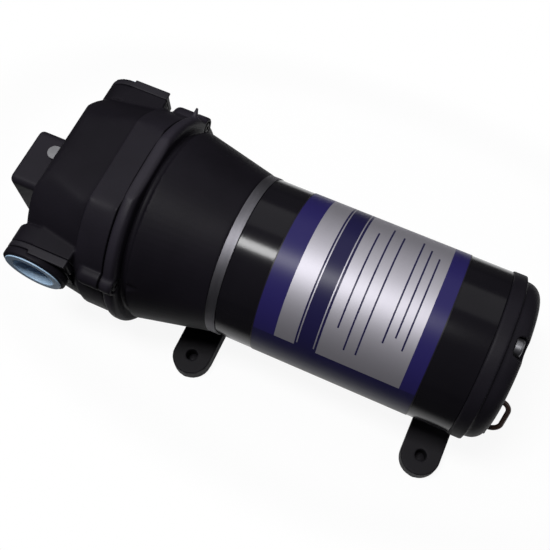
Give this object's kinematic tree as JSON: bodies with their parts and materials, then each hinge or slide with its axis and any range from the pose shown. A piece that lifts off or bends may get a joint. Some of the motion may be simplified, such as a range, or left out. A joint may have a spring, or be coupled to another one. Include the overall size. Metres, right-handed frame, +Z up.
{
  "type": "caravan water pump",
  "caption": "Black diaphragm water pump with a labelled round motor, a tapered pump head, side ports with blue transit plugs, a pressure switch and rubber feet.",
  "frame": {"origin": "centre of the four mounting holes, on the surface that the feet stand on", "axes": "+X along the motor from the pump head to the rear cap, +Z up from the feet"},
  "size_m": [0.2328, 0.0976, 0.097],
  "materials": {
    "tube_paint": "gloss",
    "label_film": "gloss",
    "bell_aluminium": "satin",
    "housing_plastic": "satin",
    "clip_plastic": "satin",
    "plug_plastic": "satin",
    "foot_rubber": "matte",
    "seal_rubber": "matte",
    "zinc_steel": "bright",
    "bright_steel": "bright",
    "spring_steel": "satin",
    "lamination_steel": "satin",
    "copper": "satin",
    "bronze": "satin",
    "ferrite": "matte",
    "carbon": "matte",
    "card_board": "matte",
    "white_nylon": "satin",
    "switch_plastic": "satin",
    "button_plastic": "satin",
    "lead_sleeve": "satin"
  },
  "bodies": {
    "housing": {"motor_tube": "tube_paint", "motor_label": "label_film", "front_bell": "bell_aluminium", "rear_cap": "housing_plastic", "through_bolts": "zinc_steel", "magnets": "ferrite", "brush_card": "card_board", "brush_spring_near": "spring_steel", "brush_spring_far": "spring_steel", "rear_bush": "bronze", "front_bearing_outer": "bright_steel", "lower_housing": "housing_plastic", "bell_screws": "zinc_steel", "diaphragm": "seal_rubber", "valve_plate": "white_nylon", "inlet_valves": "seal_rubber", "outlet_valve": "seal_rubber", "head_seals": "seal_rubber", "upper_housing": "housing_plastic", "head_screws": "lamination_steel", "switch_base": "housing_plastic", "switch_diaphragm": "seal_rubber", "switch_spring": "spring_steel", "microswitch": "switch_plastic", "switch_terminals": "zinc_steel", "switch_cover": "housing_plastic", "switch_screws": "zinc_steel", "front_foot": "foot_rubber", "rear_foot": "foot_rubber", "rear_saddle": "housing_plastic", "foot_screws": "zinc_steel", "lead_loop": "lead_sleeve", "lead_grommets": "seal_rubber"},
    "rotor": {"shaft": "bright_steel", "rotor_core": "lamination_steel", "windings": "copper", "commutator": "copper", "thrust_washer": "card_board", "front_bearing_inner": "bright_steel", "front_bearing_balls": "bright_steel", "cam": "lamination_steel", "cam_grub_screw": "lamination_steel", "cam_bearing_inner": "bright_steel", "cam_bearing_balls": "bright_steel"},
    "wobble": {"wobble_plate": "white_nylon", "pistons": "white_nylon", "piston_screws": "zinc_steel", "cam_bearing_outer": "bright_steel"},
    "plunger": {"switch_plunger": "white_nylon"},
    "button": {"switch_button": "button_plastic"},
    "clip_near": {"clip_near": "clip_plastic"},
    "clip_far": {"clip_far": "clip_plastic"},
    "plug_near": {"plug_near": "plug_plastic"},
    "plug_far": {"plug_far": "plug_plastic"},
    "brush_near": {"brush_near": "carbon"},
    "brush_far": {"brush_far": "carbon"}
  },
  "joints": [
    {"name": "rotor_spin", "type": "hinge", "parent": "housing", "child": "rotor", "pos_m": [0, 0, 0.052], "axis": [1, 0, 0], "continuous": true, "deforming": ["diaphragm"]},
    {"name": "wobble_nutate", "type": "hinge", "parent": "rotor", "child": "wobble", "pos_m": [-0.08865, 0, 0.052], "axis": [0.9969, 0, 0.0785], "continuous": true},
    {"name": "plunger_press", "type": "slide", "parent": "housing", "child": "plunger", "axis": [-1, 0, 0], "range_m": [0, 0.0008], "stiffness_N_per_m": 4000, "springref_m": -0.001, "deforming": ["switch_spring", "switch_diaphragm"]},
    {"name": "button_press", "type": "slide", "parent": "housing", "child": "button", "axis": [-1, 0, 0], "range_m": [0, 0.0008]},
    {"name": "clip_near_lift", "type": "slide", "parent": "housing", "child": "clip_near", "axis": [0, 0, 1], "range_m": [0, 0.012]},
    {"name": "clip_far_lift", "type": "slide", "parent": "housing", "child": "clip_far", "axis": [0, 0, 1], "range_m": [0, 0.012]},
    {"name": "plug_near_pull", "type": "slide", "parent": "housing", "child": "plug_near", "axis": [0, -1, 0], "range_m": [0, 0.04]},
    {"name": "plug_far_pull", "type": "slide", "parent": "housing", "child": "plug_far", "axis": [0, 1, 0], "range_m": [0, 0.04]},
    {"name": "brush_near_lift", "type": "slide", "parent": "housing", "child": "brush_near", "axis": [0, -1, 0], "range_m": [0, 0.003], "stiffness_N_per_m": 300, "springref_m": -0.003, "deforming": ["brush_spring_near"]},
    {"name": "brush_far_lift", "type": "slide", "parent": "housing", "child": "brush_far", "axis": [0, 1, 0], "range_m": [0, 0.003], "stiffness_N_per_m": 300, "springref_m": -0.003, "deforming": ["brush_spring_far"]}
  ],
  "couplings": [
    {"joint": "wobble_nutate", "follows": "rotor_spin", "ratio": -1},
    {"joint": "button_press", "follows": "plunger_press", "ratio": 1}
  ]
}
